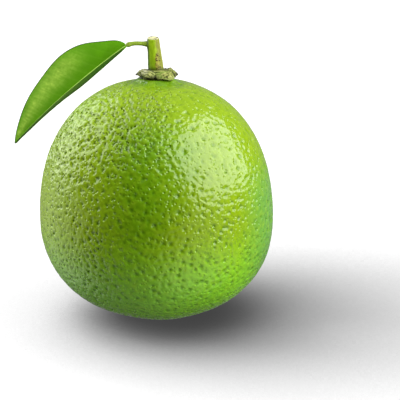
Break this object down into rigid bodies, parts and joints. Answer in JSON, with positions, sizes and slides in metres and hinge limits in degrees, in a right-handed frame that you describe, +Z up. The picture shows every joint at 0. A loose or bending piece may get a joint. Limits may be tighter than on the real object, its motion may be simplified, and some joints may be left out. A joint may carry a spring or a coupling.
{
  "type": "lime",
  "caption": "Whole green lime fruit with pitted rind, dry calyx, short cut stalk and a folded leaf, resting on its blossom end.",
  "frame": {"origin": "middle of the small flat spot at the blossom end, on the surface that the fruit rests on", "axes": "+Z up through the stalk end of the fruit; the leaf reaches out towards -X, and -Y is the front"},
  "size_m": [0.0645, 0.0584, 0.0703],
  "materials": {
    "rind": "satin",
    "calyx": "matte",
    "stalk": "matte",
    "leaf_stalk": "satin",
    "leaf": "satin"
  },
  "bodies": {
    "root": {"fruit": "rind", "calyx": "calyx", "stem": "stalk", "petiole": "leaf_stalk", "leaf_blade": "leaf"}
  },
  "joints": []
}
